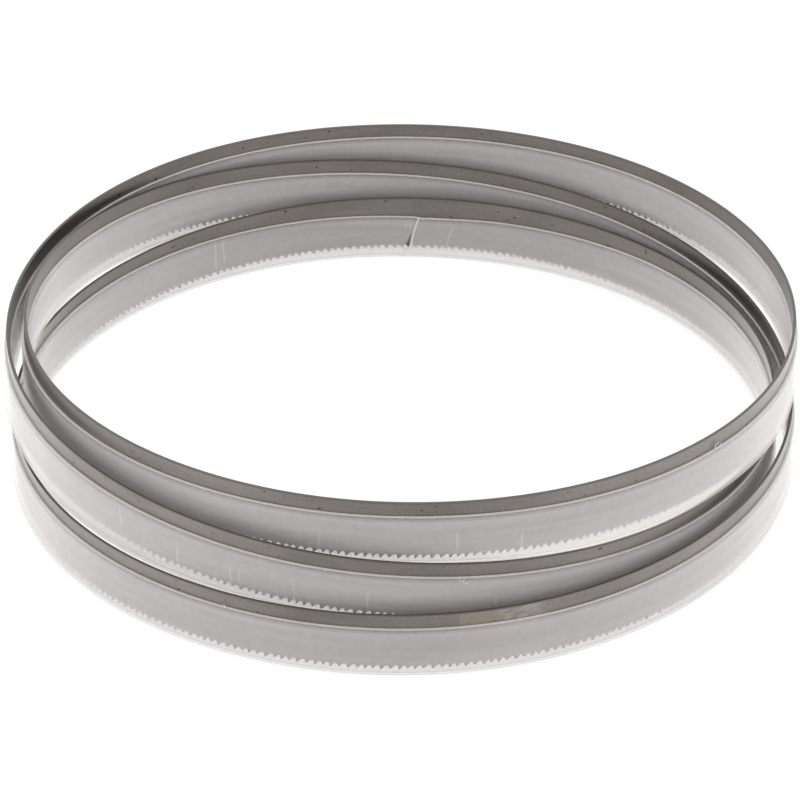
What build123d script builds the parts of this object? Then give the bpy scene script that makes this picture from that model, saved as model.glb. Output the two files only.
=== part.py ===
from build123d import *
import os
from math import cos, radians, sin

# Band saw blade: one endless toothed steel band, coiled into three turns, with a plastic channel
# pushed over its teeth. Millimetres, +Z up. The origin is the middle of the coil at the level
# that it rests on, and the front of the coil is at -Y.

# Steel band
BAND_WIDTH = 13.0
BAND_THICKNESS = 0.65
TOOTH_PITCH = 1.7
TOOTH_DEPTH = 0.9
TOOTH_LEAD = 0.3
TOOTH_SET = 0.12
PITCH_CYCLE = (0.88, 0.96, 1.08, 1.14, 0.94)

# Guard, an open channel with its lips on the band and its foot under the teeth
GUARD_HEIGHT = 11.3
GUARD_WALL = 0.45
GUARD_FOOT = 0.6
FOOT_BEVEL = 0.35
LIP_CLEARANCE = 0.02
TOOTH_CLEARANCE = 0.06
TIP_CLEARANCE = 0.6
CHANNEL_HALF = BAND_THICKNESS / 2 + TOOTH_SET + TOOTH_CLEARANCE

# Joint of the guard's two cut ends, at the rear
SEAM_ANGLE = 88.4
SEAM_SLANT = 3.4
SEAM_GAP_LIP = 0.3
SEAM_GAP_FOOT = 0.6

# The coil. Turns side by side lie in lanes, and turns on top of each other in levels.
COIL_RADIUS = 82.5
TURN_CLEARANCE = 0.09
LANE_WIDTH = 2 * (CHANNEL_HALF + GUARD_WALL) + TURN_CLEARANCE
LEVEL_HEIGHT = GUARD_FOOT + TIP_CLEARANCE + BAND_WIDTH

# Eight places a turn, from the rear over the left: lane of the band, level of the guard's foot,
# and how far the guard has slipped down from the teeth. The first six places are on the floor.
COIL = (
    (-1.15, 0.00, 1.0),
    (-0.95, 0.00, 0.1),
    (-0.15, 0.00, 0.1),
    (1.40, 0.00, 0.1),
    (1.75, 0.00, 0.2),
    (0.90, 0.00, 0.5),
    (0.50, 0.09, 0.5),
    (0.20, 0.37, 0.3),
    (0.30, 0.61, 0.2),
    (0.05, 0.94, 0.6),
    (-1.30, 1.23, 1.3),
    (-1.85, 1.49, 0.7),
    (-1.30, 1.61, 0.1),
    (-0.20, 1.55, 0.5),
    (0.45, 1.34, 0.9),
    (1.30, 1.26, 0.1),
    (1.50, 1.21, 0.0),
    (1.10, 1.20, 0.3),
    (0.55, 1.09, 0.9),
    (0.30, 0.99, 0.6),
    (0.10, 0.74, 0.1),
    (-0.90, 0.39, 0.0),
    (-1.35, 0.16, 0.5),
    (-1.20, 0.06, 0.6),
)
STATIONS_PER_TURN = 8
FIRST_ANGLE = 90.0
FINE_STEPS = 30


def eased(before, start, end, after, part):
    """Value between two stations on a curve that runs smoothly through all of them."""
    slope = end - before
    bend = 2 * before - 5 * start + 4 * end - after
    twist = 3 * start - before - 3 * end + after
    return 0.5 * (2 * start + slope * part + bend * part**2 + twist * part**3)


def coil_values(step):
    """Radius, foot height and tooth tip height at a place counted in stations from the first."""
    index = int(step // 1)
    near = [COIL[(index + shift) % len(COIL)] for shift in (-1, 0, 1, 2)]
    lane, level, slip = (eased(*column, step - index) for column in zip(*near))
    radius = COIL_RADIUS + lane * LANE_WIDTH
    return radius, max(level, 0.0) * LEVEL_HEIGHT, GUARD_FOOT + TIP_CLEARANCE + slip


def coil_point(step):
    """Point of the guard's foot under the middle of the band, and the tooth tips' height above it."""
    radius, foot, tips = coil_values(step)
    angle = radians(FIRST_ANGLE + step * 360.0 / STATIONS_PER_TURN)
    return Vector(radius * cos(angle), radius * sin(angle), foot), tips


def even_steps(count, first):
    """The given number of places around the whole coil, evenly spaced along the band."""
    fine_count = len(COIL) * FINE_STEPS
    steps = [first + index / FINE_STEPS for index in range(fine_count + 1)]
    points = [coil_point(step)[0] for step in steps]
    lengths = [0.0]
    for start, end in zip(points, points[1:]):
        lengths.append(lengths[-1] + (end - start).length)
    places = []
    index = 0
    for number in range(count):
        target = lengths[-1] * number / count
        while lengths[index + 1] < target:
            index += 1
        share = (target - lengths[index]) / (lengths[index + 1] - lengths[index])
        places.append(steps[index] + share / FINE_STEPS)
    return places, lengths[-1]


class Frame:
    """One upright line across the band, with the direction outward through its thickness."""

    def __init__(self, point, outward, tips):
        self.point = point
        self.outward = outward
        self.tips = tips

    def at(self, offset, height):
        return self.point + self.outward * offset + Vector(0, 0, height)

    def gullets(self):
        """Height of the gullets' floors above the guard's foot."""
        return self.tips + TOOTH_DEPTH

    def back(self):
        """Height of the band's back edge above the guard's foot."""
        return self.tips + BAND_WIDTH

    def mixed(self, other, part):
        """The frame at a share of the way to another one."""
        point = self.point + (other.point - self.point) * part
        outward = self.outward + (other.outward - self.outward) * part
        return Frame(point, outward, self.tips + (other.tips - self.tips) * part)


def make_frames():
    """Frames at the bends between the flats, with the guard's joint in the middle of flat 0."""
    _, length = even_steps(1, 0.0)
    flat_count = round(length / (TOOTH_PITCH * sum(PITCH_CYCLE)))
    half_flat = length / flat_count / 2
    turn = 360.0 / STATIONS_PER_TURN
    seam_step = (SEAM_ANGLE - FIRST_ANGLE) / turn
    half_step = half_flat / coil_values(seam_step)[0] / radians(turn)
    places, _ = even_steps(flat_count, seam_step - half_step)
    spots = [coil_point(step) for step in places]
    frames = []
    for index, (point, tips) in enumerate(spots):
        ahead = spots[(index + 1) % flat_count][0] - point
        behind = point - spots[index - 1][0]
        along = Vector(ahead.X, ahead.Y).normalized() + Vector(behind.X, behind.Y).normalized()
        outward = Vector(along.Y, -along.X).normalized()
        frames.append(Frame(point, outward, tips))
    return frames


def panel(first, second, third, fourth):
    """Two triangles across four corners that may lie slightly out of one plane."""
    lower = Face(Wire.make_polygon([first, second, third]))
    upper = Face(Wire.make_polygon([first, third, fourth]))
    return [lower, upper]


def tooth_faces(root, tip, end, lean):
    """Faces of one tooth, from its gullet over its tip to the next gullet."""
    half = BAND_THICKNESS / 2
    outer, inner = (
        [root.at(side, root.gullets()), tip.at(side + lean, tip.tips), end.at(side, end.gullets())]
        for side in (half, -half)
    )
    faces = [Face(Wire.make_polygon(outer)), Face(Wire.make_polygon(inner))]
    faces += panel(outer[0], outer[1], inner[1], inner[0])
    faces += panel(outer[1], outer[2], inner[2], inner[1])
    return faces


def make_band(frames):
    """The endless band: a flat for each cycle of teeth, closed into one solid."""
    half = BAND_THICKNESS / 2
    starts = [sum(PITCH_CYCLE[:tooth]) / sum(PITCH_CYCLE) for tooth in range(len(PITCH_CYCLE))]
    shares = starts + [1.0]
    faces = []
    tooth_number = 0
    for start, end in zip(frames, frames[1:] + frames[:1]):
        roots = [start.mixed(end, share) for share in shares]
        for root, following, share, next_share in zip(roots, roots[1:], shares, shares[1:]):
            tip = start.mixed(end, share + TOOTH_LEAD * (next_share - share))
            lean = TOOTH_SET if tooth_number % 2 else -TOOTH_SET
            faces += tooth_faces(root, tip, following, lean)
            tooth_number += 1
        for side in (half, -half):
            gullets = [root.at(side, root.gullets()) for root in roots]
            backs = [end.at(side, end.back()), start.at(side, start.back())]
            faces.append(Face(Wire.make_polygon(gullets + backs)))
        faces += panel(
            start.at(half, start.back()),
            end.at(half, end.back()),
            end.at(-half, end.back()),
            start.at(-half, start.back()),
        )
    return Solid(Shell(faces))


def guard_section():
    """Corners of the channel's section as offset and height, from one lip round to the other."""
    lip = BAND_THICKNESS / 2 + LIP_CLEARANCE
    side = [
        (CHANNEL_HALF, GUARD_FOOT),
        (lip, GUARD_HEIGHT),
        (lip + GUARD_WALL, GUARD_HEIGHT),
        (CHANNEL_HALF + GUARD_WALL, FOOT_BEVEL),
        (CHANNEL_HALF + GUARD_WALL - FOOT_BEVEL, 0.0),
    ]
    return side + [(-offset, height) for offset, height in reversed(side)]


def cut_end(start, end, section, side):
    """The section at one of the guard's cut ends, ahead of the joint's middle or behind it."""
    length = (end.point - start.point).length
    corners = []
    for offset, height in section:
        rise = height / GUARD_HEIGHT
        gap = SEAM_GAP_FOOT + (SEAM_GAP_LIP - SEAM_GAP_FOOT) * rise
        shift = side * gap / 2 + SEAM_SLANT * (0.5 - rise)
        corners.append(start.mixed(end, 0.5 + shift / length).at(offset, height))
    return corners


def cap_faces(corners):
    """The cut end itself: two walls and the foot between them."""
    channel, lip_in, lip_out, bevel, foot, foot_b, bevel_b, lip_out_b, lip_in_b, channel_b = corners
    faces = panel(channel, lip_in, lip_out, bevel)
    faces += [Face(Wire.make_polygon([channel, bevel, foot]))]
    faces += panel(channel, foot, foot_b, channel_b)
    faces += [Face(Wire.make_polygon([channel_b, foot_b, bevel_b]))]
    faces += panel(channel_b, bevel_b, lip_out_b, lip_in_b)
    return faces


def make_guard(frames):
    """The channel, from its cut end at the rear once round the whole coil to its other end."""
    section = guard_section()
    first = cut_end(frames[0], frames[1], section, 1)
    last = cut_end(frames[0], frames[1], section, -1)
    rows = [first]
    for frame in frames[1:] + frames[:1]:
        rows.append([frame.at(offset, height) for offset, height in section])
    rows.append(last)
    faces = cap_faces(first) + cap_faces(last)
    for row, next_row in zip(rows, rows[1:]):
        for corner in range(len(section)):
            following = (corner + 1) % len(section)
            faces += panel(row[corner], next_row[corner], next_row[following], row[following])
    return Solid(Shell(faces))


def main():
    os.makedirs("parts", exist_ok=True)
    frames = make_frames()
    export_step(make_band(frames), "parts/blade.step")
    export_step(make_guard(frames), "parts/tooth_guard.step")


main()
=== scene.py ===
"""Finish, light and view of a coiled band saw blade with its tooth guard.

Lengths are metres, and millimetres where a note says so. Each piece starts as a straight blank: X
along the band, Y outward through its thickness and Z up. The blank is then bent round the coil.
"""

from __future__ import annotations

import logging
import math
from collections.abc import Callable
from dataclasses import dataclass
from enum import Enum
from functools import cached_property

import bmesh
import bpy
import numpy as np
from mathutils import Matrix, Vector


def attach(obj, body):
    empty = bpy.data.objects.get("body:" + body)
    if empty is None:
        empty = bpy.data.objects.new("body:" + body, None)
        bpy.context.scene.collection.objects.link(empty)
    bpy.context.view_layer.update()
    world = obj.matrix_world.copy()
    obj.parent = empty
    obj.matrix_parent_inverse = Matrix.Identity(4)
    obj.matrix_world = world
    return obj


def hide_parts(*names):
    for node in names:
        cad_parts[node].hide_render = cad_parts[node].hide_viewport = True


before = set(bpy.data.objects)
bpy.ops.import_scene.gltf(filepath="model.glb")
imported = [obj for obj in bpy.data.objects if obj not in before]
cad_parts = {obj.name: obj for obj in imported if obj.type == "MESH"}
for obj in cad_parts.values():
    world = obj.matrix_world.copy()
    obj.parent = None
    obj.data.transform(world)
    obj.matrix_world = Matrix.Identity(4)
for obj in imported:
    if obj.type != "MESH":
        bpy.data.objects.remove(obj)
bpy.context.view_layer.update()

log = logging.getLogger("band_saw_blade")

MM = 0.001
PER_MM = 1.0 / MM
SAME_PLACE = 1e-6
AT_END = 1e-7
SHARP_DEGREES = 40.0
BODY = "root"
BAND_MAP = "band_map"

Colour = tuple[float, float, float]
Point = tuple[float, float, float]
Pair = tuple[float, float]


class Base(Enum):
    """What the height of a blank is measured from."""

    FOOT = "guard foot"
    TIPS = "tooth tips"


@dataclass(frozen=True)
class Coil:
    """Path of the closed band through its three turns.

    A place holds the lane of the band, the level of the guard's foot and how far the guard has
    slipped down from the teeth. There are eight places a turn, from the rear over the left.
    """

    radius: float = 82.5 * MM
    lane_width: float = 2.0 * MM
    level_height: float = 14.2 * MM
    tip_height: float = 1.2 * MM
    places_per_turn: int = 8
    first_angle: float = 90.0
    joint_angle: float = 88.4
    fine_steps: int = 60
    places: tuple[tuple[float, float, float], ...] = (
        (-1.15, 0.00, 1.0),
        (-0.95, 0.00, 0.1),
        (-0.15, 0.00, 0.1),
        (1.40, 0.00, 0.1),
        (1.75, 0.00, 0.2),
        (0.90, 0.00, 0.5),
        (0.50, 0.09, 0.5),
        (0.20, 0.37, 0.3),
        (0.30, 0.61, 0.2),
        (0.05, 0.94, 0.6),
        (-1.30, 1.23, 1.3),
        (-1.85, 1.49, 0.7),
        (-1.30, 1.61, 0.1),
        (-0.20, 1.55, 0.5),
        (0.45, 1.34, 0.9),
        (1.30, 1.26, 0.1),
        (1.50, 1.21, 0.0),
        (1.10, 1.20, 0.3),
        (0.55, 1.09, 0.9),
        (0.30, 0.99, 0.6),
        (0.10, 0.74, 0.1),
        (-0.90, 0.39, 0.0),
        (-1.35, 0.16, 0.5),
        (-1.20, 0.06, 0.6),
    )

    def line(self, steps: np.ndarray) -> np.ndarray:
        """Points of the guard's foot under the band.

        Args:
            steps: places counted along the table, with parts of a place.

        Returns:
            One row a point: x, y, foot height and the tooth tips' height above the foot.
        """
        table = np.array(self.places)
        index = np.floor(steps).astype(int)
        part = (steps - index)[:, None]
        before, start, end, after = (table[(index + shift) % len(table)] for shift in (-1, 0, 1, 2))
        bend = 2 * before - 5 * start + 4 * end - after
        twist = 3 * start - before - 3 * end + after
        lane, level, slip = (
            0.5 * (2 * start + (end - before) * part + bend * part**2 + twist * part**3)
        ).T
        angle = np.radians(self.first_angle + steps * 360.0 / self.places_per_turn)
        radius = self.radius + lane * self.lane_width
        foot = np.maximum(level, 0.0) * self.level_height
        return np.stack(
            [radius * np.cos(angle), radius * np.sin(angle), foot, self.tip_height + slip * MM], axis=1
        )

    @cached_property
    def steps(self) -> np.ndarray:
        """Fine steps once along the whole coil, from the guard's joint."""
        first = (self.joint_angle - self.first_angle) * self.places_per_turn / 360.0
        count = len(self.places) * self.fine_steps
        return first + np.arange(count + 1) / self.fine_steps

    @cached_property
    def distances(self) -> np.ndarray:
        """Distance along the band at each fine step."""
        points = self.line(self.steps)[:, :3]
        return np.concatenate([[0.0], np.cumsum(np.linalg.norm(np.diff(points, axis=0), axis=1))])

    @property
    def length(self) -> float:
        """Length of the closed band."""
        return float(self.distances[-1])

    def distance_at(self, turn: int, angle: float) -> float:
        """Distance along the band to an angle on a turn.

        Args:
            turn: 0 for the turn that starts on the floor, then 1 and 2.
            angle: degrees, counterclockwise from the right, between 90 and 450.

        Returns:
            The distance in metres.
        """
        step = (turn * 360.0 + angle - self.first_angle) * self.places_per_turn / 360.0
        return float(np.interp(step, self.steps, self.distances))

    def bent(self, blank: np.ndarray, base: Base) -> np.ndarray:
        """Points of a straight blank, bent round the coil.

        Args:
            blank: one row a point, in the blank's own X, Y and Z.
            base: what the blank's heights are measured from.

        Returns:
            The bent points, one row a point.
        """
        along, through, height = blank.T
        steps = np.interp(along % self.length, self.distances, self.steps)
        reach = 0.5 / self.fine_steps
        x, y, foot, tips = self.line(steps).T
        ahead = self.line(steps + reach) - self.line(steps - reach)
        size = np.hypot(ahead[:, 0], ahead[:, 1])
        lift = foot + tips if base is Base.TIPS else foot
        return np.stack(
            [x + through * ahead[:, 1] / size, y - through * ahead[:, 0] / size, lift + height], axis=1
        )


def placed(name: str, data: bpy.types.ID) -> bpy.types.Object:
    """Makes an object of its data and puts it in the scene.

    Args:
        name: the object's name.
        data: its mesh, lamp or camera.

    Returns:
        The object, at the origin.
    """
    made = bpy.data.objects.new(name, data)
    bpy.context.scene.collection.objects.link(made)
    return made


def made_piece(name: str, work: bmesh.types.BMesh) -> bpy.types.Object:
    """Turns a finished working mesh into a piece and frees the working mesh.

    Args:
        name: the piece's name.
        work: the working mesh.

    Returns:
        The piece.
    """
    data = bpy.data.meshes.new(name)
    work.to_mesh(data)
    work.free()
    return placed(name, data)


def points_of(work: bmesh.types.BMesh) -> np.ndarray:
    """The points of a working mesh, one row a point."""
    return np.array([vert.co[:] for vert in work.verts])


def move_points(work: bmesh.types.BMesh, points: np.ndarray) -> None:
    """Puts the points of a working mesh where the rows of an array say."""
    for vert, point in zip(work.verts, points):
        vert.co = point


class Blank:
    """A straight piece in the making, with a map of its distances and heights for the finish."""

    def __init__(self, columns: int, rows: int) -> None:
        """Starts from a flat sheet.

        Args:
            columns: faces along the band.
            rows: faces up the band.
        """
        self.mesh = bmesh.new()
        self.map = self.mesh.loops.layers.uv.new(BAND_MAP)
        bmesh.ops.create_grid(self.mesh, x_segments=columns, y_segments=rows, size=1.0)
        self.columns = columns
        self.rows = rows

    def shape(self, place: Callable[[int, int], Point]) -> None:
        """Puts each point of the sheet in its place.

        Args:
            place: gives the place for a column and a row.
        """
        for vert in self.mesh.verts:
            column = round((vert.co.x + 1.0) / 2.0 * self.columns)
            row = round((vert.co.y + 1.0) / 2.0 * self.rows)
            vert.co = place(column, row)

    def write_map(self) -> None:
        """Stores the distance along the blank and the height at each face corner, in metres."""
        for face in self.mesh.faces:
            for loop in face.loops:
                loop[self.map].uv = (loop.vert.co.x, loop.vert.co.z)

    def open_ends(self, length: float) -> None:
        """Takes away the faces that close the blank's two ends, so that they can be joined.

        Args:
            length: the blank's length.
        """
        ends = [
            face
            for face in self.mesh.faces
            if all(vert.co.x < AT_END for vert in face.verts)
            or all(vert.co.x > length - AT_END for vert in face.verts)
        ]
        bmesh.ops.delete(self.mesh, geom=ends, context="FACES_ONLY")

    def coiled(
        self, name: str, coil: Coil, base: Base, change: Callable[[np.ndarray], np.ndarray]
    ) -> bpy.types.Object:
        """Bends the blank round the coil and makes it an object.

        Args:
            name: the piece's name.
            coil: the path.
            base: what the blank's heights are measured from.
            change: a last change to the blank's points before they are bent.

        Returns:
            The piece, with its place in its mesh.
        """
        move_points(self.mesh, coil.bent(change(points_of(self.mesh)), base))
        bmesh.ops.remove_doubles(self.mesh, verts=self.mesh.verts, dist=SAME_PLACE)
        bmesh.ops.recalc_face_normals(self.mesh, faces=self.mesh.faces)
        return made_piece(name, self.mesh)


def soften(piece: bpy.types.Object) -> None:
    """Shades a piece smoothly, with sharp edges where its faces meet at a clear angle."""
    data = piece.data
    data.polygons.foreach_set("use_smooth", np.ones(len(data.polygons), bool))
    data.set_sharp_from_angle(angle=math.radians(SHARP_DEGREES))


@dataclass(frozen=True)
class SteelBand:
    """The endless toothed band.

    The tooth's outline holds shares of its pitch and of its depth above the tip.
    """

    coil: Coil
    width: float = 13.0 * MM
    thickness: float = 0.65 * MM
    tooth_pitch: float = 1.7 * MM
    tooth_depth: float = 0.9 * MM
    tooth_set: float = 0.12 * MM
    edge_round: float = 0.07 * MM
    root_line: float = 1.1 * MM
    pitch_cycle: tuple[float, ...] = (0.88, 0.96, 1.08, 1.14, 0.94)
    tooth: tuple[Pair, ...] = (
        (0.00, 1.00),
        (0.10, 0.96),
        (0.17, 0.82),
        (0.22, 0.56),
        (0.26, 0.20),
        (0.30, 0.00),
        (0.38, 0.05),
        (0.54, 0.32),
        (0.70, 0.66),
        (0.85, 0.92),
    )

    def tooth_starts(self) -> np.ndarray:
        """Finds where the teeth start.

        Returns:
            Distance along the band of each gullet's floor, and of the last tooth's end.
        """
        cycle = np.array(self.pitch_cycle)
        cycles = round(self.coil.length / (self.tooth_pitch * cycle.sum()))
        shares = np.concatenate([[0.0], np.cumsum(np.tile(cycle, cycles))])
        return shares / shares[-1] * self.coil.length

    def tooth_line(self) -> np.ndarray:
        """Draws the toothed edge.

        Returns:
            One row a point: distance along the band and height above the tips.
        """
        starts = self.tooth_starts()
        outline = np.array(self.tooth)
        along = starts[:-1, None] + np.diff(starts)[:, None] * outline[:, 0]
        height = np.broadcast_to(outline[:, 1] * self.tooth_depth, along.shape)
        line = np.stack([along.ravel(), height.ravel()], axis=1)
        return np.vstack([line, [self.coil.length, self.tooth_depth]])

    def set_teeth(self, blank: np.ndarray) -> np.ndarray:
        """Leans the teeth of the blank outward and inward by turns.

        Args:
            blank: the straight band's points.

        Returns:
            The points with their teeth set.
        """
        number = np.searchsorted(self.tooth_starts(), blank[:, 0], side="right")
        side = np.where(number % 2 == 0, -1.0, 1.0)
        lean = np.clip(1.0 - blank[:, 2] / self.tooth_depth, 0.0, 1.0)
        set_blank = blank.copy()
        set_blank[:, 1] += side * self.tooth_set * lean
        return set_blank

    def build(self) -> bpy.types.Object:
        """Makes the band: a toothed sheet, thickened, its back edges rounded, bent and closed.

        Returns:
            The piece.
        """
        line = self.tooth_line()
        heights = (None, self.root_line, self.width)
        blank = Blank(len(line) - 1, len(heights) - 1)

        def place(column: int, row: int) -> Point:
            """The inner side's point at a column and a row."""
            height = line[column, 1] if row == 0 else heights[row]
            return (line[column, 0], -self.thickness / 2, height)

        blank.shape(place)
        work = blank.mesh
        made = bmesh.ops.extrude_face_region(work, geom=work.faces[:])["geom"]
        outer = [part for part in made if isinstance(part, bmesh.types.BMVert)]
        bmesh.ops.translate(work, verts=outer, vec=(0.0, self.thickness, 0.0))
        blank.open_ends(self.coil.length)
        back = [
            edge
            for edge in work.edges
            if all(vert.co.z > self.width - SAME_PLACE for vert in edge.verts)
            and abs(edge.verts[0].co.y - edge.verts[1].co.y) < SAME_PLACE
        ]
        bmesh.ops.bevel(
            work, geom=back, offset=self.edge_round, segments=1, profile=0.5, affect="EDGES", material=-1
        )
        blank.write_map()
        return blank.coiled("steel_band", self.coil, Base.TIPS, self.set_teeth)


@dataclass(frozen=True)
class ToothGuard:
    """The plastic channel over the teeth, from its cut end once round to its other end.

    The joint's gaps are in millimetres at shares of the guard's height. The drops are in
    millimetres too: the lips' at distances from the joint, and the foot's at distances along it.
    """

    coil: Coil
    height: float = 11.3 * MM
    wall: float = 0.45 * MM
    lip_half_width: float = 0.795 * MM
    foot_half_width: float = 0.955 * MM
    foot_round: float = 0.40 * MM
    column_length: float = 1.0 * MM
    corner_steps: int = 5
    wall_steps: int = 8
    joint_slant: float = 3.4 * MM
    joint_shift: float = 0.4 * MM
    joint_reach: float = 14.0 * MM
    joint_gaps: tuple[Pair, ...] = (
        (0.00, 0.03),
        (0.19, 0.04),
        (0.30, 1.25),
        (0.42, 0.75),
        (0.65, 0.08),
        (1.00, 0.08),
    )
    foot_zone: float = 1.0 / 3.0
    lip_drops: tuple[Pair, ...] = (
        (-60.0, 0.0),
        (-20.0, 0.5),
        (-9.0, 0.9),
        (-1.0, 0.95),
        (1.0, 0.65),
        (22.0, 0.3),
        (60.0, 0.0),
    )
    foot_drops: tuple[Pair, ...] = (
        (790.0, 0.0),
        (805.0, 0.45),
        (820.0, 0.85),
        (836.0, 0.85),
        (848.0, 0.5),
        (858.0, 0.0),
        (1180.0, 0.0),
        (1200.0, 0.35),
        (1210.0, 0.35),
        (1220.0, 0.9),
        (1245.0, 0.9),
        (1258.0, 0.6),
        (1275.0, 0.2),
        (1290.0, 0.0),
    )

    def half_section(self) -> list[Pair]:
        """Draws the inner face of the wall from the middle of the foot to a lip.

        Returns:
            Offset and height of each corner.
        """
        foot = self.foot_half_width - self.wall
        lip = self.lip_half_width - self.wall
        base = self.wall
        points = [(0.0, base)]
        for step in range(self.corner_steps + 1):
            angle = math.radians(90.0) * step / self.corner_steps
            offset = foot - self.foot_round + self.foot_round * math.sin(angle)
            points.append((offset, base + self.foot_round - self.foot_round * math.cos(angle)))
        start = base + self.foot_round
        for step in range(1, self.wall_steps + 1):
            share = step / self.wall_steps
            points.append((foot + (lip - foot) * share, start + (self.height - start) * share))
        return points

    def cut_ends(self, blank: np.ndarray) -> np.ndarray:
        """Slants the two cut ends and opens the joint, and lets the lips and the foot droop.

        Args:
            blank: the straight guard's points.

        Returns:
            The changed points.
        """
        length = self.coil.length
        along, _, height = blank.T
        rise = height / self.height
        gap = np.interp(rise, *zip(*self.joint_gaps)) * MM
        slant = self.joint_slant * (0.5 - rise) + self.joint_shift
        near_start = np.clip(1.0 - along / self.joint_reach, 0.0, 1.0)
        near_end = np.clip(1.0 - (length - along) / self.joint_reach, 0.0, 1.0)
        changed = blank.copy()
        changed[:, 0] += near_start * (gap / 2 + slant) + near_end * (slant - gap / 2)
        from_joint = np.where(along > length / 2, along - length, along) / MM
        changed[:, 2] -= np.interp(from_joint, *zip(*self.lip_drops)) * MM * np.clip(rise, 0.0, 1.0)
        foot_share = np.clip(1.0 - rise / self.foot_zone, 0.0, 1.0)
        changed[:, 2] -= np.interp(along / MM, *zip(*self.foot_drops)) * MM * foot_share
        return changed

    def build(self) -> bpy.types.Object:
        """Makes the guard: a sheet shaped to the channel's inside, thickened outward and bent.

        Returns:
            The piece.
        """
        half = self.half_section()
        section = [(-offset, height) for offset, height in reversed(half[1:])] + half
        columns = round(self.coil.length / self.column_length)
        step = self.coil.length / columns
        blank = Blank(columns, len(section) - 1)
        blank.shape(lambda column, row: (column * step, section[row][0], section[row][1]))
        work = blank.mesh
        bmesh.ops.recalc_face_normals(work, faces=work.faces)
        bmesh.ops.solidify(work, geom=work.faces[:], thickness=self.wall)
        blank.write_map()
        return blank.coiled("guard_channel", self.coil, Base.FOOT, self.cut_ends)


@dataclass(frozen=True)
class LipCurl:
    """A thin shaving of the plastic that curls off a lip, in millimetres and degrees.

    It is a part of a ring. Its sweep runs downward first from the ring's far side along the band,
    or upward first where it is negative, and its reach is how far out it stands from the band.
    """

    along: float
    height: float
    radius: float
    thickness: float
    sweep: float
    reach: float = 0.88


@dataclass(frozen=True)
class LipCurls:
    """The few curls that the cutting of the plastic left on the guard's lips."""

    coil: Coil
    rim_segments: int = 8
    sweep_steps: int = 18
    colour: Colour = (0.93, 0.90, 0.89)
    alpha: float = 0.5
    roughness: float = 0.4
    curls: tuple[LipCurl, ...] = (
        LipCurl(851.7, 12.0, 0.65, 0.11, 310.0),
        LipCurl(853.2, 11.7, 0.45, 0.10, 240.0),
        LipCurl(1318.1, 10.8, 0.38, 0.08, 230.0),
        LipCurl(1319.0, 10.5, 0.50, 0.08, 260.0),
        LipCurl(226.0, 11.25, 0.9, 0.09, -55.0),
        LipCurl(1554.2, 10.35, 0.20, 0.12, 250.0, -0.85),
        LipCurl(1553.2, 10.30, 0.16, 0.10, 200.0, -0.85),
        LipCurl(1552.1, 10.40, 0.22, 0.12, 270.0, -0.85),
        LipCurl(1551.2, 10.35, 0.16, 0.10, 220.0, -0.85),
        LipCurl(1550.4, 10.40, 0.18, 0.11, 240.0, -0.85),
    )

    def build(self) -> bpy.types.Object:
        """Makes the curls: each is a part of a small ring at the side of the guard's lip.

        Returns:
            The piece.
        """
        work = bmesh.new()
        for curl in self.curls:
            middle = Vector((curl.along, curl.reach, curl.height)) * MM
            start = Matrix.Translation(middle + Vector((curl.radius * MM, 0.0, 0.0)))
            rim = bmesh.ops.create_circle(
                work, segments=self.rim_segments, radius=curl.thickness * MM, matrix=start
            )["verts"]
            edges = [edge for edge in work.edges if edge.verts[0] in rim]
            bmesh.ops.spin(
                work,
                geom=rim + edges,
                cent=middle,
                axis=(0.0, 1.0, 0.0),
                angle=math.radians(curl.sweep),
                steps=self.sweep_steps,
            )
        bmesh.ops.holes_fill(work, edges=[edge for edge in work.edges if edge.is_boundary])
        move_points(work, self.coil.bent(points_of(work), Base.FOOT))
        bmesh.ops.recalc_face_normals(work, faces=work.faces)
        return made_piece("lip_curls", work)

    def material(self) -> bpy.types.Material:
        """Makes the plain material.

        Returns:
            The material.
        """
        nodes = Nodes(bpy.data.materials.new("white_shaving"))
        return nodes.principled(
            {"Base Color": self.colour, "Roughness": self.roughness, "Alpha": self.alpha}
        )


class Num:
    """A number in a material, so that shader maths reads as an expression."""

    def __init__(self, finish: Nodes, socket: bpy.types.NodeSocket) -> None:
        """Wraps an output socket of a finish's node tree."""
        self.finish = finish
        self.socket = socket

    def _math(self, operation: str, first: Num | float, second: Num | float) -> Num:
        """The result of a Math node on two values."""
        return self.finish.number("ShaderNodeMath", {"operation": operation}, {0: first, 1: second})

    def __add__(self, other: Num | float) -> Num:
        """The sum."""
        return self._math("ADD", self, other)

    __radd__ = __add__

    def __mul__(self, other: Num | float) -> Num:
        """The product."""
        return self._math("MULTIPLY", self, other)

    __rmul__ = __mul__

    def __sub__(self, other: Num | float) -> Num:
        """The difference."""
        return self._math("SUBTRACT", self, other)

    def __rsub__(self, other: float) -> Num:
        """The difference, the other way round."""
        return self._math("SUBTRACT", other, self)

    def __rtruediv__(self, other: float) -> Num:
        """The quotient of a value and this number."""
        return self._math("DIVIDE", other, self)

    def power(self, exponent: Num | float) -> Num:
        """This number to a power."""
        return self._math("POWER", self, exponent)

    def at_least(self, low: Num | float) -> Num:
        """This number, or the given one if it is larger."""
        return self._math("MAXIMUM", self, low)

    def within(self, low: float, high: float, soft: float) -> Num:
        """One between two values and zero outside them, over a soft edge."""
        return self.ramp(low - soft, low + soft) * (1 - self.ramp(high - soft, high + soft))

    def toward(self, goal: float, share: Num) -> Num:
        """This number, moved by a share of the way to a goal."""
        return self + share * (goal - self)

    def ramp(self, low: float, high: float, start: float = 0.0, end: float = 1.0) -> Num:
        """Eases from one value to another while this number goes from low to high.

        Args:
            low: where the rise begins.
            high: where it ends.
            start: the value below low.
            end: the value above high.

        Returns:
            The eased value.
        """
        settings = {"interpolation_type": "SMOOTHSTEP", "clamp": True}
        inputs = {"Value": self, "From Min": low, "From Max": high, "To Min": start, "To Max": end}
        return self.finish.number("ShaderNodeMapRange", settings, inputs, "Result")


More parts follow.
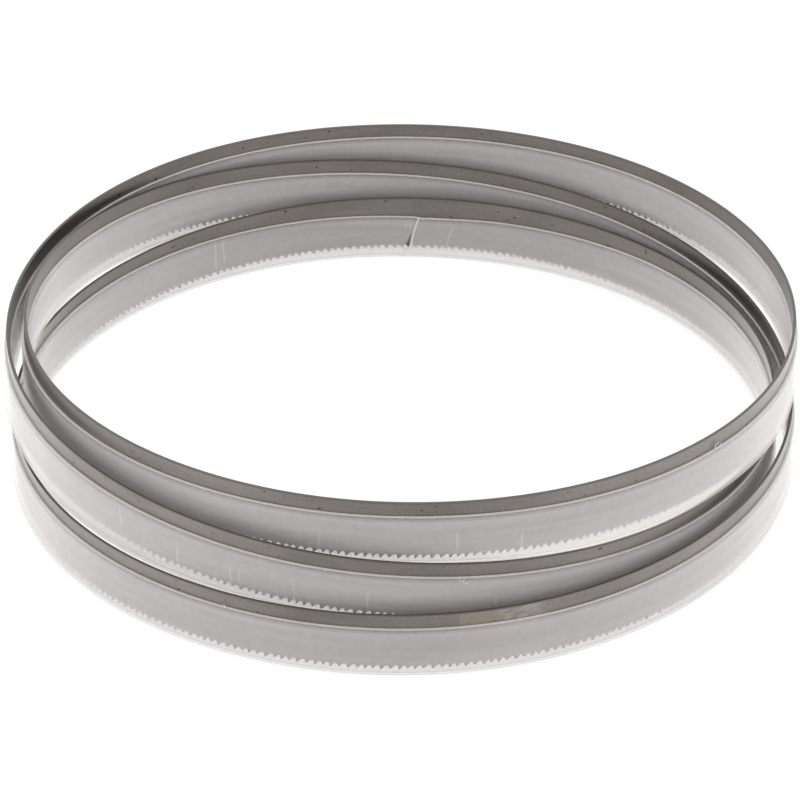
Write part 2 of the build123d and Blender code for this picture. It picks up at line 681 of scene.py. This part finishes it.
@dataclass(frozen=True)
class Grains:
    """A noise on the band: grains a millimetre along and up it, octaves, and a shift of its own."""

    along: float
    up: float
    detail: float
    seed: float


class Nodes:
    """The node tree of a material or a world, with one way to add a node."""

    mix_sockets = (0, 6, 7)
    mix_result = 2

    def __init__(self, owner: bpy.types.Material | bpy.types.World) -> None:
        """Starts with an empty tree."""
        self.owner = owner
        owner.use_nodes = True
        self.tree = owner.node_tree
        self.tree.nodes.clear()

    def node(
        self, kind: str, settings: dict, inputs: dict, output: str | int = 0
    ) -> bpy.types.NodeSocket | None:
        """Adds a node.

        Args:
            kind: the node's type.
            settings: its properties, which are set first.
            inputs: socket name or number to a value, a colour, a socket or a Num.
            output: the output to return.

        Returns:
            The chosen output socket, or None for a node that ends the tree.
        """
        node = self.tree.nodes.new(kind)
        for key, value in settings.items():
            setattr(node, key, value)
        for key, value in inputs.items():
            socket = node.inputs[key]
            if isinstance(value, Num):
                value = value.socket
            if isinstance(value, bpy.types.NodeSocket):
                self.tree.links.new(value, socket)
            elif socket.type == "RGBA":
                socket.default_value = (*value, 1.0)
            else:
                socket.default_value = value
        return node.outputs[output] if node.outputs else None

    def number(self, kind: str, settings: dict, inputs: dict, output: str | int = 0) -> Num:
        """Adds a node and returns its output as a number for expressions."""
        return Num(self, self.node(kind, settings, inputs, output))

    def part_of(self, vector: bpy.types.NodeSocket, axis: int) -> Num:
        """One of the three numbers of a vector."""
        return self.number("ShaderNodeSeparateXYZ", {}, {0: vector}, axis)

    def is_ray(self, kind: str) -> Num:
        """One for rays of a kind and zero for others."""
        return self.number("ShaderNodeLightPath", {}, {}, f"Is {kind} Ray")

    def band_map(self) -> tuple[Num, Num]:
        """Distance along the band and height, from the piece's own map, in millimetres."""
        place = self.node("ShaderNodeUVMap", {"uv_map": BAND_MAP}, {})
        return self.part_of(place, 0) * PER_MM, self.part_of(place, 1) * PER_MM

    def noise(self, along: Num, up: Num, grains: Grains) -> Num:
        """Noise whose grains have their own size along the band and up it.

        Args:
            along: millimetres along the band.
            up: millimetres up the band.
            grains: the grains' sizes.

        Returns:
            The noise, from zero to one.
        """
        place = {0: along * grains.along, 1: up * grains.up, 2: grains.seed}
        vector = self.node("ShaderNodeCombineXYZ", {}, place)
        inputs = {"Vector": vector, "Scale": 1.0, "Detail": grains.detail}
        return self.number("ShaderNodeTexNoise", {}, inputs, "Fac")

    def blend(
        self, factor: Num, first: bpy.types.NodeSocket | Colour, second: bpy.types.NodeSocket | Colour
    ) -> bpy.types.NodeSocket:
        """Mixes two colours.

        Args:
            factor: the second colour's share, from zero to one.
            first: the first colour.
            second: the second colour.

        Returns:
            The mixed colour.
        """
        inputs = dict(zip(self.mix_sockets, (factor, first, second)))
        return self.node("ShaderNodeMix", {"data_type": "RGBA"}, inputs, self.mix_result)

    def bump(self, strength: float, distance: float, height: Num) -> bpy.types.NodeSocket:
        """The normal of a finely uneven surface."""
        return self.node("ShaderNodeBump", {}, {"Strength": strength, "Distance": distance, "Height": height})

    def principled(self, look: dict) -> bpy.types.Material:
        """Ends a material with one shader.

        Args:
            look: the shader's inputs by name.

        Returns:
            The material.
        """
        shader = self.node("ShaderNodeBsdfPrincipled", {}, look)
        self.node("ShaderNodeOutputMaterial", {}, {"Surface": shader})
        return self.owner


@dataclass(frozen=True)
class Weld:
    """The band's joint: brown strokes with a sharp start, then a paler ground zone that fades out."""

    turn: int = 0
    start_angle: float = 278.1
    brown_end_angle: float = 283.7
    ground_end_angle: float = 291.8
    soft_start: float = 0.15
    brown_fade: Pair = (-1.5, 0.5)
    ground_fade: float = 6.0
    brown: Colour = (0.235, 0.188, 0.142)
    ground: Colour = (0.32, 0.295, 0.265)
    strokes: Grains = Grains(0.5, 1.6, 3.0, 7.7)
    brown_strokes: tuple[float, float, float, float] = (0.35, 0.65, 0.35, 0.95)
    ground_strokes: tuple[float, float, float, float] = (0.3, 0.7, 0.15, 0.85)

    def over(
        self, coil: Coil, nodes: Nodes, along: Num, up: Num, steel: bpy.types.NodeSocket
    ) -> bpy.types.NodeSocket:
        """Lays the weld over the steel's colour.

        Args:
            coil: the band's path, which the weld's angles refer to.
            nodes: the steel's node tree.
            along: millimetres along the band.
            up: millimetres up the band.
            steel: the colour without the weld.

        Returns:
            The colour with the weld.
        """
        start, brown_end, ground_end = (
            coil.distance_at(self.turn, angle) / MM
            for angle in (self.start_angle, self.brown_end_angle, self.ground_end_angle)
        )
        strokes = nodes.noise(along, up, self.strokes)
        zone = along.ramp(start - self.soft_start, start + self.soft_start)
        ground = zone * along.ramp(ground_end - self.ground_fade, ground_end, 1.0, 0.0)
        colour = nodes.blend(ground * strokes.ramp(*self.ground_strokes), steel, self.ground)
        fade_start, fade_end = self.brown_fade
        brown = zone * along.ramp(brown_end + fade_start, brown_end + fade_end, 1.0, 0.0)
        return nodes.blend(brown * strokes.ramp(*self.brown_strokes), colour, self.brown)


@dataclass(frozen=True)
class SteelFinish:
    """Satin rolled steel: fine grain, lengthwise lines, small dark specks, a ground weld and a painted shade
    line along its top edge.

    Pairs are the two values, mostly of a noise or of a height in millimetres, that a change runs
    between.
    """

    coil: Coil
    weld: Weld = Weld()
    colour: Colour = (0.222, 0.195, 0.177)
    dark: Colour = (0.103, 0.090, 0.081)
    # painted shade: dark colour of the thin line along the band's top edge, where the gap between turns is
    # shaded
    edge: Colour = (0.10, 0.09, 0.082)
    speck: Colour = (0.035, 0.030, 0.028)
    metallic: float = 0.9
    film_weight: float = 0.7
    film_roughness: float = 0.35
    lines: Grains = Grains(0.05, 7.0, 2.0, 1.7)
    grain: Grains = Grains(3.6, 4.6, 1.0, 5.1)
    clouds: Grains = Grains(0.06, 0.25, 2.0, 9.3)
    pits: Grains = Grains(0.9, 1.1, 0.0, 3.3)
    tone_shares: tuple[float, float, float] = (0.25, 0.5, 0.25)
    tone_range: Pair = (0.30, 0.70)
    tone_middle: float = 0.5
    bare_heights: Pair = (7.8, 9.0)
    covered_contrast: float = 0.25
    pit_range: Pair = (0.80, 0.84)
    top_edge_shade_heights: Pair = (12.72, 12.82)
    line_range: Pair = (0.3, 0.7)
    roughness: Pair = (0.34, 0.48)
    bump_shares: Pair = (0.4, 0.6)
    bump_strength: float = 0.12
    bump_distance: float = 0.02 * MM

    def material(self) -> bpy.types.Material:
        """Makes the material.

        Returns:
            The material.
        """
        nodes = Nodes(bpy.data.materials.new("satin_steel"))
        along, up = nodes.band_map()
        lines, grain, clouds, pits = (
            nodes.noise(along, up, grains) for grains in (self.lines, self.grain, self.clouds, self.pits)
        )
        line_share, grain_share, cloud_share = self.tone_shares
        tone = lines * line_share + grain * grain_share + clouds * cloud_share
        contrast = up.ramp(*self.bare_heights, self.covered_contrast, 1.0)
        tone = (tone - self.tone_middle) * contrast + self.tone_middle
        colour = nodes.blend(tone.ramp(*self.tone_range), self.dark, self.colour)
        colour = self.weld.over(self.coil, nodes, along, up, colour)
        colour = nodes.blend(pits.ramp(*self.pit_range) * contrast, colour, self.speck)
        # painted shade: darkens the band in a thin line along its top edge
        colour = nodes.blend(up.ramp(*self.top_edge_shade_heights), colour, self.edge)
        line_share, grain_share = self.bump_shares
        uneven = lines * line_share + grain * grain_share
        return nodes.principled(
            {
                "Base Color": colour,
                "Roughness": lines.ramp(*self.line_range, *self.roughness),
                "Metallic": self.metallic,
                "Coat Weight": self.film_weight,
                "Coat Roughness": self.film_roughness,
                "Normal": nodes.bump(self.bump_strength, self.bump_distance, uneven),
            }
        )


@dataclass(frozen=True)
class Crease:
    """A white stress mark across the guard: its place along the band and two heights, in mm."""

    along: float
    low: float
    high: float
    slant: float = 0.0
    half_width: float = 0.1
    soft_sides: float = 0.22
    soft_ends: float = 1.0

    def mask(self, along: Num, up: Num) -> Num:
        """Shows where the mark is.

        Args:
            along: millimetres along the band.
            up: millimetres up the guard.

        Returns:
            One on the mark and zero elsewhere, with soft edges.
        """
        middle = (self.low + self.high) / 2
        line = along + (up - middle) * self.slant if self.slant else along
        across = line.within(self.along - self.half_width, self.along + self.half_width, self.soft_sides)
        return across * up.within(self.low, self.high, self.soft_ends)


@dataclass(frozen=True)
class GuardFinish:
    """Milky translucent plastic with a clear line under its bright lip, white creases and painted shade on
    its lowest part.

    Heights are millimetres above the guard's foot. Pairs are the two values, mostly of a noise or
    of a height, that a change runs between.
    """

    coil: Coil
    colour: Colour = (0.93, 0.895, 0.895)
    cream: Colour = (0.96, 0.90, 0.845)
    cream_heights: Pair = (0.6, 2.6)
    # painted shade: darker tone on the lowest part of the foot, standing in for the contact shadow under the
    # coil
    foot_shade: Colour = (0.84, 0.79, 0.74)
    foot_shade_heights: Pair = (0.25, 0.7)
    crease_colour: Colour = (0.95, 0.94, 0.94)
    crease_alpha: float = 0.15
    body_alphas: Pair = (0.27, 0.33)
    body_range: Pair = (0.3, 0.7)
    foot_alpha: float = 0.17
    foot_heights: Pair = (1.4, 3.0)
    clear_alpha: float = 0.14
    clear_heights: Pair = (9.9, 10.9)
    lip_alpha: float = 0.48
    lip_heights: Pair = (11.09, 11.17)
    end_alpha: float = 0.4
    end_distances: Pair = (0.75, 0.3)
    end_heights: Pair = (1.6, 2.6)
    slimmest_facing: float = 0.33
    haze: Grains = Grains(0.02, 0.35, 2.0, 6.1)
    mottle: Grains = Grains(0.7, 0.6, 2.0, 4.4)
    flow: Grains = Grains(0.012, 0.8, 2.0, 2.9)
    haze_share: float = 0.75
    mottle_share: float = 0.25
    bump_strength: float = 0.08
    bump_distance: float = 0.1 * MM
    roughness: float = 0.25
    index_of_refraction: float = 1.4
    creases: tuple[Crease, ...] = (
        Crease(763.9, 2.2, 5.8, -0.05),
        Crease(791.4, 2.9, 7.2),
        Crease(804.4, 2.4, 6.3),
        Crease(1244.2, 4.9, 9.6, 0.1),
        Crease(1259.0, 3.3, 7.4),
        Crease(1271.2, 2.7, 7.1, 0.05),
        Crease(1273.1, 3.7, 6.6),
        Crease(1284.7, 1.7, 6.8, 0.05),
        Crease(1299.5, 2.7, 6.8, -0.05),
        Crease(1325.2, 4.2, 6.1),
        Crease(47.2, 3.4, 10.6),
        Crease(45.2, 4.8, 10.5, -0.1),
        Crease(1548.0, 3.5, 9.1, 0.15),
        Crease(0.9, 8.3, 10.0, -0.3),
        Crease(1.8, 7.9, 9.7, -0.2),
    )

    def face_alpha(self, nodes: Nodes, along: Num, up: Num) -> Num:
        """Works out the opacity of one face of the wall, seen square on.

        Args:
            nodes: the node tree.
            along: millimetres along the band.
            up: millimetres up the guard.

        Returns:
            The opacity.
        """
        haze = nodes.noise(along, up, self.haze)
        mottle = nodes.noise(along, up, self.mottle)
        tone = haze * self.haze_share + mottle * self.mottle_share
        alpha = tone.ramp(*self.body_range, *self.body_alphas)
        alpha = alpha.toward(self.foot_alpha, up.ramp(*self.foot_heights, 1.0, 0.0))
        alpha = alpha.toward(self.clear_alpha, up.ramp(*self.clear_heights))
        return alpha.toward(self.lip_alpha, up.ramp(*self.lip_heights))

    def cut_edge(self, along: Num, up: Num) -> Num:
        """Shows where the white cut edge at the far end of the guard is.

        Args:
            along: millimetres along the band.
            up: millimetres up the guard.

        Returns:
            One on the edge and zero elsewhere.
        """
        start, end = (self.coil.length / MM - distance for distance in self.end_distances)
        return along.ramp(start, end) * up.ramp(*self.end_heights)

    def seen_alpha(self, nodes: Nodes, alpha: Num) -> Num:
        """Raises the opacity where the wall is seen at a slant and the way through it is longer.

        Args:
            nodes: the node tree.
            alpha: the opacity seen square on.

        Returns:
            The opacity as seen.
        """
        facing = nodes.number("ShaderNodeLayerWeight", {}, {"Blend": 0.5}, "Facing")
        way_through = 1.0 / (1.0 - facing).at_least(self.slimmest_facing)
        return 1.0 - (1.0 - alpha).power(way_through)

    def material(self) -> bpy.types.Material:
        """Makes the material.

        Returns:
            The material.
        """
        nodes = Nodes(bpy.data.materials.new("milky_plastic"))
        along, up = nodes.band_map()
        marks = sum((crease.mask(along, up) for crease in self.creases), start=0.0)
        alpha = self.face_alpha(nodes, along, up)
        alpha = alpha + marks * self.crease_alpha + self.cut_edge(along, up) * self.end_alpha
        colour = nodes.blend(up.ramp(*self.cream_heights, 1.0, 0.0), self.colour, self.cream)
        # painted shade: darkens the lowest part of the foot
        colour = nodes.blend(up.ramp(*self.foot_shade_heights, 1.0, 0.0), colour, self.foot_shade)
        colour = nodes.blend(marks, colour, self.crease_colour)
        flow = nodes.noise(along, up, self.flow)
        return nodes.principled(
            {
                "Base Color": colour,
                "Roughness": self.roughness,
                "IOR": self.index_of_refraction,
                "Alpha": self.seen_alpha(nodes, alpha),
                "Normal": nodes.bump(self.bump_strength, self.bump_distance, flow),
            }
        )


@dataclass(frozen=True)
class Lamp:
    """A square soft lamp that points at the coil."""

    name: str
    place: Point
    size: float
    power: float

    def hang(self) -> None:
        """Hangs the lamp."""
        data = bpy.data.lights.new(self.name, "AREA")
        data.size = self.size
        data.energy = self.power
        lamp = placed(self.name, data)
        lamp.location = self.place
        lamp.rotation_euler = (-Vector(self.place)).to_track_quat("-Z", "Y").to_euler()


@dataclass(frozen=True)
class Studio:
    """A white room, soft lamps and the camera."""

    look_at_height: float = 11.03 * MM
    elevation: float = 32.088
    distance: float = 1034.6 * MM
    focal_over_width: float = 6.021
    roll: float = -0.472
    shift: float = -0.00096
    sensor: float = 36.0
    nearest: float = 0.01
    farthest: float = 50.0
    floor_half: float = 2.0
    floor_colour: Colour = (0.9, 0.9, 0.9)
    floor_glow: float = 0.8
    floor_white: float = 1.08
    side_gleam: float = 0.62
    gleam_reach: Pair = (15.0 * MM, 80.0 * MM)
    world_colour: Colour = (1.0, 1.0, 1.0)
    world_light: float = 0.7
    lamps: tuple[Lamp, ...] = (
        Lamp("soft_top", (0.0, 0.1, 1.2), 1.2, 5.5),
        Lamp("soft_left", (-1.3, -0.4, 0.5), 1.0, 1.7),
        Lamp("soft_right", (1.3, -0.4, 0.5), 1.0, 1.7),
    )

    def camera(self) -> None:
        """Places the camera at the photograph's angle."""
        elevation = math.radians(self.elevation)
        roll = math.radians(self.roll)
        forward = Vector((0.0, math.cos(elevation), -math.sin(elevation)))
        right = Vector((1.0, 0.0, 0.0))
        up = Vector((0.0, math.sin(elevation), math.cos(elevation)))
        right, up = (
            right * math.cos(roll) - up * math.sin(roll),
            right * math.sin(roll) + up * math.cos(roll),
        )
        data = bpy.data.cameras.new("camera")
        data.sensor_width = self.sensor
        data.lens = self.sensor * self.focal_over_width
        data.shift_x = self.shift
        data.clip_start = self.nearest
        data.clip_end = self.farthest
        camera = placed("camera", data)
        turn = Matrix((right, up, -forward)).transposed().to_4x4()
        place = Vector((0.0, 0.0, self.look_at_height)) - forward * self.distance
        camera.matrix_world = Matrix.Translation(place) @ turn
        bpy.context.scene.camera = camera

    def floor(self) -> None:
        """Lays a floor that looks white and still takes the object's soft shadow."""
        work = bmesh.new()
        bmesh.ops.create_grid(work, x_segments=1, y_segments=1, size=self.floor_half)
        floor = made_piece("floor", work)
        nodes = Nodes(bpy.data.materials.new("white_floor"))
        matt = nodes.node("ShaderNodeBsdfDiffuse", {}, {"Color": self.floor_colour})
        strength = self.floor_white * (1.0 + self.gleam(nodes))
        white = nodes.node("ShaderNodeEmission", {}, {"Strength": strength})
        glow = self.seen_rays(nodes) * self.floor_glow
        mixed = nodes.node("ShaderNodeMixShader", {}, {0: glow, 1: matt, 2: white})
        nodes.node("ShaderNodeOutputMaterial", {}, {"Surface": mixed})
        floor.data.materials.append(nodes.owner)

    def gleam(self, nodes: Nodes) -> Num:
        """Works out how much brighter the floor is in reflections, more so towards its sides.

        Args:
            nodes: the floor's node tree.

        Returns:
            The gain.
        """
        across = nodes.part_of(nodes.node("ShaderNodeTexCoord", {}, {}, "Object"), 0)
        side = (across * across).power(0.5).ramp(*self.gleam_reach)
        return nodes.is_ray("Glossy") * side * self.side_gleam

    def seen_rays(self, nodes: Nodes) -> Num:
        """One for rays of sight, also by reflection or through glass, and zero for light."""
        total = nodes.is_ray("Camera") + nodes.is_ray("Glossy") + nodes.is_ray("Transmission")
        return total.ramp(0.0, 1.0)

    def world(self) -> None:
        """Sets white surroundings, which light the object a little less than they show."""
        nodes = Nodes(bpy.data.worlds.new("white_room"))
        seen = nodes.is_ray("Camera").at_least(nodes.is_ray("Glossy"))
        strength = seen.ramp(0.0, 1.0, self.world_light, 1.0)
        back = nodes.node("ShaderNodeBackground", {}, {"Color": self.world_colour, "Strength": strength})
        nodes.node("ShaderNodeOutputWorld", {}, {"Surface": back})
        bpy.context.scene.world = nodes.owner

    def build(self) -> None:
        """Makes the room, the lamps and the camera."""
        self.camera()
        self.floor()
        self.world()
        for lamp in self.lamps:
            lamp.hang()
        bpy.context.scene.view_settings.view_transform = "Standard"


def finish_piece(
    piece: bpy.types.Object, material: bpy.types.Material, node: str | None = None
) -> None:
    """Dresses a piece, ties it to its body and reports it.

    Args:
        piece: the piece.
        material: its material.
        node: the CAD node that it stands for, if there is one.
    """
    piece.data.materials.clear()
    piece.data.materials.append(material)
    soften(piece)
    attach(piece, BODY)
    if node:
        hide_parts(node)
    piece.data.calc_loop_triangles()
    log.info("%s: %d triangles", piece.name, len(piece.data.loop_triangles))


def main() -> None:
    """Builds the pieces, their finishes and the studio."""
    logging.basicConfig(level=logging.INFO, format="%(name)s %(message)s")
    coil = Coil()
    log.info("band length %.1f mm", coil.length / MM)
    finish_piece(SteelBand(coil).build(), SteelFinish(coil).material(), "blade")
    finish_piece(ToothGuard(coil).build(), GuardFinish(coil).material(), "tooth_guard")
    curls = LipCurls(coil)
    finish_piece(curls.build(), curls.material())
    Studio().build()


if __name__ == "__main__":
    main()
